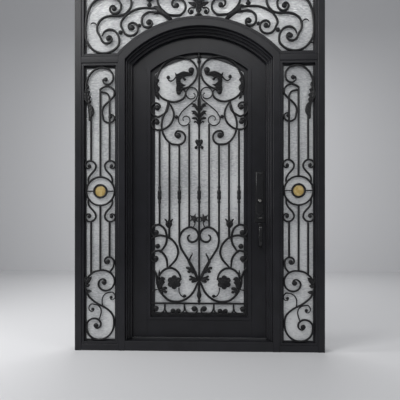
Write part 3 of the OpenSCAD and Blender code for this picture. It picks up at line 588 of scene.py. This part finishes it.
def transom(name, flip):
    """One half of the transom's scrolls and leaf castings."""
    shape = Shape((0, 0), flip)
    y = FRAME_Y
    shape.bar(smooth(great_scroll), HEAVY, BAR, y, (0.7, 0.7))
    shape.bar(smooth(s_scroll), HEAVY, BAR, y - 0.4, (1, 0.7))
    shape.bar(smooth(arch_scroll), HEAVY, BAR, y, (0.8, 0.7))
    shape.bar(smooth(inner_scroll), HEAVY, BAR, y - 0.3, (0.8, 0.7))
    shape.bar(smooth(centre_scroll), HEAVY, BAR, y, (1, 0.7))
    shape.bar(smooth([(688, 2196), (704, 2214), (722, 2216), (734, 2204)]), TENDRIL, TENDRIL, y - 1,
              (1, 0.5))
    shape.bar(smooth([(276, 2345), (260, 2306)]), TENDRIL, TENDRIL, y - 1)
    shape.bar([np.array([x, 2061.0]) for x in (742, 750, 758, 768)], 8, 8, y)
    for c, r in [((572, 2312), 18), ((612, 2111), 18), ((451, 2180), 18), ((338, 2214), 18),
                 ((148, 2324), 18), ((530, 2150), 15), ((400, 2194), 13)]:
        shape.ball(c, y, r, 18)
    shape.lathe(332, y, urn, 20, depth=0.45)
    shape.build(name, FORGED, "root", "forged_iron", (name.replace("ironwork", "scrolls"),))
    leaf = Shape((0, 0), flip)
    leaf.relief(arch_leaf, y, 12, 7, 10, axis=((300, 2294), (180, 2228)), pitch=26, rib=0.12)
    for root, tip, w in [((2, 2318), (72, 2344), 17), ((2, 2346), (58, 2392), 17),
                         ((4, 2268), (36, 2240), 9)]:
        leaf.relief(leaf_outline(root, tip, w, 3), y - 1, 9, 7, 8, 3.5, (root, tip), 14)
    leaf.bar(smooth([(4, 2350), (12, 2326), (28, 2308)] + coil((48, 2282), 27, 9, 120, -200)), 10, 11, y - 1,
             (1, 0.7))
    leaf.ball((49, 2283), y - 1, 11, 17)
    leaf.build(name.replace("ironwork", "leaf_castings"), CAST, "root", "forged_iron")


transom("right_transom_ironwork", False)
transom("left_transom_ironwork", True)
palmette = Shape()
palmette.bar(straight(0, 2232, 2401), BAR, BAR, FRAME_Y - 0.5, uneven=0)
palmette_root, palmette_tip = (0, 2396), (0, 2234)
palmette.relief(leaf_outline(palmette_root, palmette_tip, 24, 4), FRAME_Y - 3, 12, 7, 9, 3.5,
                (palmette_root, palmette_tip), 20)
palmette.build("transom_palmette", CAST, "root", "forged_iron")

# ---- Leaf: crown ----

crown_loop = [(122, 1788), (70, 1806), (25, 1855), (12, 1918), (48, 1980), (112, 2008), (186, 2002),
              (250, 1958), (286, 1890), (300, 1830), (292, 1772), (250, 1724), (176, 1700), (112, 1722),
              (94, 1764), (118, 1792)]
lyre = (coil((48, 1752), 10, 30, -220, -120) + coil((52, 1758), 38, 42, -85, 200)
        + [(22, 1716), (55, 1688), (88, 1660), (118, 1633)] + coil((99, 1574), 48, 38, 35, -110)
        + coil((96, 1577), 36, 12, -140, -400))
side_scroll = coil((290, 1660), 18, 62, 180, -100) + [(232, 1628), (214, 1668), (218, 1702)]
inward_arc = ([(214, 1702), (190, 1664), (177, 1625), (180, 1585), (200, 1546), (236, 1517)]
              + coil((292, 1560), 57, 12, 245, 500))
outward_arc = ([(214, 1702), (228, 1645), (252, 1590), (261, 1540), (252, 1490), (230, 1444), (194, 1411)]
               + coil((143, 1456), 53, 42, 280, 95) + coil((145, 1466), 32, 12, 80, -60))
hook_leaf = [(38, 1902), (46, 1885), (62, 1879), (82, 1878), (100, 1868), (88, 1856), (103, 1846),
             (114, 1861), (126, 1858), (127, 1838), (108, 1823), (90, 1817), (113, 1803), (98, 1797),
             (106, 1783), (122, 1770), (134, 1758), (150, 1760), (160, 1776), (161, 1796), (158, 1815),
             (161, 1845), (163, 1874), (168, 1906), (154, 1894), (130, 1905), (108, 1912), (80, 1908),
             (58, 1900)]
crown_tendril = [(160, 1874), (178, 1852), (196, 1844), (210, 1850), (217, 1864)]
loop_leaf = [(284, 1904), (294, 1876), (276, 1852), (288, 1826), (272, 1800), (282, 1772), (306, 1766),
             (314, 1830), (304, 1886)]
loop_tip = [(304, 1764), (276, 1714)]


def crown_side(flip):
    """The scrolls and the castings of one side of the leaf's crown."""
    y = LEAF_Y
    shape = Shape((0, 0), flip)
    for i, p in enumerate((crown_loop, side_scroll, inward_arc, outward_arc)):
        shape.bar(smooth(p), SCROLL + 1, BAR, y - 0.3 * (i % 2), (0.8, 0.7))
    shape.bar(smooth(lyre), TENDRIL, 10, y - 1, (0.8, 0.7))
    shape.bar(smooth(crown_tendril), 9, 9, y - 2, (1.1, 0.7))
    for c, r in [((292, 1560), 18), ((145, 1466), 20), ((290, 1660), 19), ((214, 1871), 13),
                 ((158, 1596), 13)]:
        shape.ball(c, y - 1, r, 19)
    cast = Shape((0, 0), flip)
    cast.relief(hook_leaf, y - 1, 13, 7, 10, 3.5, ((150, 1750), (60, 1900)), 20)
    cast.ball((54, 1918), y - 3, 21, 22)
    cast.ball((141, 1765), y - 2, 17, 20)
    cast.relief(loop_leaf, y, 11, 7, 9, 4, ((300, 1770), (296, 1900)), 18)
    cast.relief(leaf_outline(*loop_tip, 13, 2), y, 9, 7, 7, 3.5, loop_tip, 14)
    return shape, cast


def both(make):
    """One shape out of the right half and its mirror image."""
    right, left = make(False), make(True)
    whole = [Shape() for _ in right]
    for target, parts in zip(whole, zip(right, left)):
        for part in parts:
            target.add(part.verts, part.faces)
    return whole


scrolls, casts = both(crown_side)
scrolls.build("door_crown_scrolls", FORGED, "door", "forged_iron", ("door_upper_scrolls",))
# The fern below the crown: a spine with four pairs of leaflets, each an outline.
spine = [(9, 1722), (12, 1696), (11, 1650), (10, 1600), (9, 1560), (7, 1540)]
fern = [
    ([(4, 1650), (12, 1670), (26, 1686), (40, 1690), (57, 1683), (45, 1677), (52, 1665), (36, 1664),
      (26, 1652), (14, 1634)], (6, 1645), (52, 1680)),
    ([(4, 1598), (10, 1618), (22, 1634), (36, 1640), (57, 1634), (44, 1626), (50, 1612), (34, 1613),
      (24, 1600), (12, 1586)], (6, 1594), (52, 1630)),
    ([(4, 1560), (9, 1580), (20, 1592), (34, 1596), (49, 1590), (48, 1581), (36, 1578), (24, 1576),
      (14, 1566), (8, 1552)], (6, 1562), (46, 1586)),
    ([(4, 1544), (10, 1558), (20, 1566), (30, 1567), (38, 1561), (34, 1554), (22, 1555), (12, 1546),
      (6, 1538)], (6, 1544), (36, 1560))]
casts.relief([(0, 1744)] + spine + [(0, 1530)] + mirrored(spine)[::-1], LEAF_Y - 3, 13, 8, 6, 3,
             ((0, 1744), (0, 1530)), 16, rib=0.15)
for outline, root, tip in fern:
    casts.relief(smooth(outline, 4), LEAF_Y - 3, 10, 7, 8, 3, (root, tip), 14, rib=0.2)
    casts.relief(smooth(mirrored(outline)[::-1], 4), LEAF_Y - 3, 10, 7, 8, 3,
                 ((-root[0], root[1]), (-tip[0], tip[1])), 14, rib=0.2)
for side in (-1, 1):
    heart = [(0, 1398), (side * 6, 1430), (side * 15, 1439), (side * 25, 1434), (side * 26, 1418),
             (side * 12, 1396)]
    casts.relief(heart if side > 0 else heart[::-1], LEAF_Y - 4, 10, 8, 9, 3, rib=0.1)
    casts.ball((side * 21, 1382), LEAF_Y - 3, 11, 17)
    casts.bar(smooth([(side * 4, 1404), (side * 12, 1396), (side * 19, 1386)]), 8, 9, LEAF_Y - 3)
casts.relief(leaf_outline((0, 1404), (0, 1362), 9), LEAF_Y - 4, 9, 8, 7, 3)
casts.ball((0, 1408), LEAF_Y - 5, 12, 20)
casts.build("door_crown_castings", CAST, "door", "forged_iron")

# ---- Leaf: bars ----

PITCH = 68.7
bars = Shape()
bars.bar(straight(0, 296, 2035), BAR, BAR, LEAF_Y + 0.4, uneven=0)
for side in (-1, 1):
    for k, z0, z1 in [(1, 829, 1545), (2, 742, 1406), (3, 756, 1424), (4, 846, 1506)]:
        bars.bar(straight(side * k * PITCH, z0, z1), BAR, BAR, LEAF_Y + 0.4, uneven=0)
bars.build("door_upright_bars", FORGED, "door", "forged_iron", ("door_vertical_bars",))

knuckles = Shape()
knuckle = [(7.3, 990), (8, 998), (10.4, 1002), (10.8, 1006), (9.6, 1011), (7.8, 1016), (8.4, 1021),
           (12.2, 1026), (13.6, 1032), (13.8, 1040), (12.4, 1048), (11.8, 1055), (12.6, 1062), (14, 1070),
           (13.4, 1079), (11, 1085), (8.2, 1090), (7.8, 1100), (9.8, 1105), (10.2, 1109), (9.2, 1114),
           (7.3, 1120)]
for k in (-4, -2, 0, 2, 4):
    knuckles.lathe(k * PITCH, LEAF_Y, knuckle, 16)
finial = [(7, 1960), (9, 1966), (13, 1974), (14, 1980), (11, 1987), (8, 1993), (10, 2000), (14, 2008),
          (15, 2014), (12, 2021), (9, 2026), (9, 2034)]
knuckles.lathe(0, LEAF_Y, finial, 16)
baluster = [(7, 314), (11, 318), (12, 324), (8, 330), (9, 338), (15, 350), (17, 360), (14, 374),
            (10, 392), (8, 412), (9, 430), (12, 438), (12, 444), (7, 450)]
knuckles.lathe(0, LEAF_Y, baluster, 18)
knuckles.build("door_turned_knuckles", CAST, "door", "forged_iron")

# ---- Leaf: lower scrolls ----

lower_lyre = ([(4, 458), (14, 490), (50, 565), (90, 628), (127, 690), (137, 742), (127, 786), (102, 816)]
              + coil((56, 766), 66, 12, 80, 420))
heel_scroll = [(3, 455), (14, 438), (42, 380), (92, 334), (150, 316), (212, 327), (264, 376), (290, 435),
               (294, 480), (305, 520), (328, 552)]
rose_hook = [(286, 470), (272, 505), (243, 536), (212, 548), (180, 545), (150, 525), (132, 495), (126, 465)]
upper_side = (coil((298, 795), 12, 52, -130, 90)
              + [(272, 847), (240, 820), (225, 772), (229, 722), (250, 684), (272, 656)])
middle_side = [(334, 748), (311, 763), (273, 775), (232, 768), (190, 747), (157, 704), (146, 658), (160, 610),
               (196, 568), (216, 548)]
lower_side = (coil((300, 614), 12, 52, -130, 90)
              + [(273, 668), (246, 645), (227, 612), (222, 577), (221, 550)])
rose_stem = [(140, 414), (139, 388), (130, 365), (114, 352), (101, 352)]
side_link = [(334, 385), (308, 396), (276, 402)]
vine_stem = [(34, 890), (28, 866), (32, 846), (44, 828)]
vine_leaf = [(34, 862), (26, 875), (8, 868), (14, 885), (2, 902), (20, 903), (26, 926), (38, 911), (62, 915),
             (53, 895), (63, 875), (44, 877)]
tulip = [(210, 822), (196, 834), (186, 850), (188, 868), (178, 890), (194, 885), (201, 873),
         (210, 897), (219, 873), (226, 885), (242, 890), (232, 868), (234, 850), (224, 834)]
sheath_tip = [(66, 590), (66, 610), (56, 630), (48, 644), (50, 656)]

# Each leaf is an outline with the root and tip of its midrib.
base_leaves = [
    ([(30, 520), (40, 538), (54, 550), (72, 557), (88, 557), (92, 547), (84, 540), (73, 537), (82, 528),
      (80, 518), (68, 514), (57, 519), (52, 514), (42, 511)], (34, 516), (86, 552)),
    ([(4, 462), (14, 478), (26, 486), (42, 490), (58, 498), (69, 495), (67, 485), (55, 480), (68, 476),
      (71, 467), (60, 461), (49, 465), (54, 454), (46, 446), (32, 449), (16, 455)], (8, 464), (64, 490)),
    ([(2, 480), (12, 502), (26, 528), (42, 554), (54, 576), (60, 597), (56, 617), (45, 643), (56, 642),
      (67, 618), (72, 606), (82, 623), (83, 604), (76, 582), (66, 562), (54, 538), (38, 510), (24, 486),
      (12, 470)], (8, 482), (68, 600)),
    ([(280, 470), (268, 484), (256, 488), (242, 484), (234, 472), (244, 462), (238, 450), (246, 438),
      (254, 420), (264, 404), (276, 404), (284, 430), (287, 452)], (280, 412), (250, 480)),
    ([(268, 398), (258, 412), (246, 418), (232, 420), (221, 411), (226, 400), (238, 398), (224, 390),
      (223, 378), (236, 373), (247, 381), (248, 369), (260, 367), (268, 380)], (266, 386), (226, 408)),
    ([(274, 470), (270, 500), (276, 540), (284, 512), (290, 478)], (282, 474), (276, 536))]


def rose(shape, centre, y):
    """An open rose: an outer and an inner ring of cupped petals about a bud."""
    for count, reach, size, lift, turn in [(6, 27, 21, 0, 90), (5, 13, 13, 5, 54)]:
        for i in range(count):
            a = math.radians(360 / count * i + turn)
            c = (centre[0] + reach * math.cos(a), centre[1] + reach * math.sin(a))
            petal = [(c[0] + size * math.cos(b) * (1 + 0.05 * math.cos(2 * (b - a))),
                      c[1] + size * math.sin(b) * (1 + 0.05 * math.cos(2 * (b - a))))
                     for b in np.linspace(0, 2 * math.pi, 14, endpoint=False)]
            shape.relief(petal, y - lift, 7, 7, 8, 3.5, (centre, c), 60, rib=0.1)
    shape.ball(centre, y - 8, 9, 16)


def base_side(flip):
    """The scrolls and the castings of one side of the leaf's lower part."""
    y = LEAF_Y
    shape = Shape((0, 0), flip)
    for i, p in enumerate((lower_lyre, heel_scroll, rose_hook, upper_side, middle_side, lower_side)):
        shape.bar(smooth(p), HEAVY, BAR, y - 0.3 * (i % 2), (0.85, 0.75))
    for p in (rose_stem, side_link, vine_stem):
        shape.bar(smooth(p), TENDRIL, 8, y - 2)
    shape.bar([np.array([210.0, z]) for z in (756, 790, 830)], 9, 10, y)
    shape.bar(smooth(sheath_tip), 9, 9, y - 2, (1.1, 0.5))
    for c, r in [((298, 795), 19), ((300, 614), 19), ((288, 700), 18), ((101, 355), 12)]:
        shape.ball(c, y - 1, r, 19)
    cast = Shape((0, 0), flip)
    cast.relief(vine_leaf, y - 4, 8, 6, 6, 3, ((36, 864), (36, 920)), 14)
    cast.relief(tulip, y - 2, 12, 8, 12, 3, ((210, 826), (210, 892)), 22, rib=0.15)
    for outline, root, tip in base_leaves:
        cast.relief(smooth(outline, 5), y - 2, 10, 7, 9, 3.5, (root, tip), 16, rib=0.2)
    rose(cast, (173, 451), y - 4)
    return shape, cast


scrolls, casts = both(base_side)
scrolls.build("door_base_scrolls", FORGED, "door", "forged_iron", ("door_lower_scrolls",))
casts.build("door_rose_and_leaf_castings", CAST, "door", "forged_iron")

# ---- Leaf: border ----

outer_hook = [(238, 304), (237, 282), (241, 260), (254, 241)] + coil((296, 262), 33, 13, 245, 520)
outer_curl = [(238, 290), (236, 258), (222, 238)] + coil((184, 252), 24, 11, -40, -270)
inner_hook = [(102, 304), (101, 282), (96, 260), (82, 241)] + coil((38, 262), 33, 13, -65, -340)
inner_curl = [(102, 290), (104, 258), (117, 238)] + coil((142, 252), 24, 11, 220, 450)


def border_side(flip):
    """One half of the border's hooks and curls."""
    shape = Shape((0, 0), flip)
    for p in (outer_hook, outer_curl, inner_hook, inner_curl):
        shape.bar(smooth(p), SCROLL - 2, BAR - 1, LEAF_Y, (1, 0.8))
    for c, r in [((300, 265), 18), ((184, 253), 15), ((34, 266), 18), ((142, 253), 15)]:
        shape.ball(c, LEAF_Y, r, 18)
    return (shape,)


border, = both(border_side)
BORDER_HALF, BORDER_Z = 335, 304.0
border.bar([np.array([x, BORDER_Z]) for x in np.linspace(-BORDER_HALF, BORDER_HALF, 9)], SCROLL, BAR,
           LEAF_Y, uneven=0)
border.build("door_border_scrolls", FORGED, "door", "forged_iron", ("door_border",))

# ---- Handleset ----

softened("handle_plate", 1.2, BRONZE, "door", None)

HANDLE_X = 417
PLATE_Y = 14
LOCK_Z = 1012
GRIP_TOP = 850
GRIP_FOOT = 698
GRIP_THICK = 5.4
grip = Shape()
# The grip's path from its top to its foot: points of (y, z).
grip_line = smooth([(19.5, GRIP_TOP), (2, 849), (-16, 845), (-28, 834), (-33, 815), (-34, 780), (-34, 745),
                    (-32, 718), (-22, 703), (-6, 699), (19.5, GRIP_FOOT)], 3)
grip_rings = []
for i, (y, z) in enumerate(grip_line):
    ahead = grip_line[min(i + 1, len(grip_line) - 1)] - grip_line[max(i - 1, 0)]
    way = ahead / np.linalg.norm(ahead)
    t = i / (len(grip_line) - 1)
    half = 8.5 + 3.3 * math.sin(math.pi * t) + 2.0 * ease(max(0, abs(2 * t - 1) * 4 - 3))
    ring = []
    for a in np.linspace(0, 2 * math.pi, 20, endpoint=False):
        out_x = half * math.copysign(abs(math.cos(a)) ** 0.7, math.cos(a))
        out = GRIP_THICK * math.sin(a) * (1 - 0.16 * math.cos(4 * a))
        ring.append((HANDLE_X + out_x, y + way[1] * out, z - way[0] * out))
    grip_rings.append(ring)
grip.rings(grip_rings)
for z in (GRIP_TOP, GRIP_FOOT):
    grip.lathe(HANDLE_X, z, [(8, 10), (11, 11.5), (12, 15), (11.5, 19.8)], 28, "y")
grip.build("pull_handle", BRONZE, "door", "handle_metal", ("pull_grip",))
softened("interior_plate", 1.5, BRONZE, "door", None)
softened("interior_lever", 3.0, BRONZE, "door", None, 3)
# The thumb piece takes the lighter paint, a painted highlight.
softened("thumb_piece", 1.2, THUMB_GLINT_PAINT, "thumb_latch", None)
panel = Shape()
panel.relief([(392, 1206), (442, 1206), (442, 928), (HANDLE_X, 908), (392, 928)], PLATE_Y, 2.4, 0.5, 4, 3,
             sharp=True)
panel.build("handle_plate_panel", BRONZE, "door", "handle_metal")
lock = Shape()
lock.lathe(HANDLE_X, LOCK_Z, [(2, 4.1), (11.4, 4.2), (12, 5.6), (12.5, 5), (15.5, 5.2), (17, 7),
                              (17, 14.2)], 32, "y")
lock.build("key_cylinder_face", BRONZE, "door", "handle_metal", ("key_cylinder",))
plug = Shape()
plug.lathe(HANDLE_X, LOCK_Z, [(0.1, 3.0), (8.0, 3.0), (8.6, 3.6), (8.6, 4.6)], 32, "y")
plug.build("key_plug", KEY_METAL, "door", "handle_metal")
# A dark strip standing a little proud of the plug: painted shade for the keyway slot, which is not cut.
keyway_shade_strip = Shape()
keyway_shade_strip.bar([np.array([HANDLE_X, LOCK_Z + z]) for z in (-5.0, 0.0, 5.0)], 1.8, 1.0, 3.0, uneven=0)
keyway_shade_strip.build("keyway_shade_strip", FORGED, "door", "handle_metal")

# ---- Stage, lights and camera ----

STAGE_GREY = (0.66, 0.66, 0.67)
EYE_Z = 0.80


def stage_plane(name, colour, corners):
    """A flat sheet of the stage, which isn't part of the object."""
    mesh = bpy.data.meshes.new(name)
    mesh.from_pydata(corners, [], [list(range(len(corners)))])
    material, _, _ = shader(name, colour, 0.7)
    mesh.materials.append(material)
    plane = bpy.data.objects.new(name, mesh)
    bpy.context.scene.collection.objects.link(plane)


stage_plane("floor", STAGE_GREY, [(-40, -40, 0), (40, -40, 0), (40, 40, 0), (-40, 40, 0)])
stage_plane("backdrop", STAGE_GREY, [(-40, 6, 0), (40, 6, 0), (40, 6, 30), (-40, 6, 30)])


def softbox(name, place, target, size, power):
    """A rectangular lamp at a place, turned to a target; metres and watts."""
    light = bpy.data.lights.new(name, "AREA")
    light.shape = "RECTANGLE"
    light.size, light.size_y = size
    light.energy = power
    lamp = bpy.data.objects.new(name, light)
    lamp.location = place
    lamp.rotation_euler = (Vector(target) - Vector(place)).to_track_quat("-Z", "Y").to_euler()
    bpy.context.scene.collection.objects.link(lamp)


softbox("key", (-3.0, -3.0, 4.2), (0, 0, 1.8), (2.0, 2.0), 120)
softbox("fill", (3.6, -3.0, 3.2), (0, 0, 1.6), (1.4, 2.0), 35)
softbox("high_front", (-0.6, -4.8, 4.6), (0, 0, 2.2), (4.4, 1.6), 65)
softbox("left_edge", (-3.4, -0.5, 1.8), (0, -0.05, 1.2), (0.4, 1.6), 50)
softbox("back", (0.0, 2.8, 4.6), (0, 3.2, 0), (3.4, 1.2), 110)

world = bpy.data.worlds.new("studio")
world.use_nodes = True
world.node_tree.nodes["Background"].inputs["Color"].default_value = (0.92, 0.95, 1.0, 1)
world.node_tree.nodes["Background"].inputs["Strength"].default_value = 0.25
bpy.context.scene.world = world
bpy.context.scene.view_settings.view_transform = "Standard"

camera_data = bpy.data.cameras.new("camera")
camera_data.sensor_width = 36
camera_data.lens = 40.4
camera_data.shift_x = 0.0026
camera_data.shift_y = 0.0795
camera = bpy.data.objects.new("camera", camera_data)
camera.location = (0.119, -3.073, EYE_Z)
camera.rotation_euler = (Vector((0, 0, EYE_Z)) - camera.location).to_track_quat("-Z", "Y").to_euler()
bpy.context.scene.collection.objects.link(camera)
bpy.context.scene.camera = camera
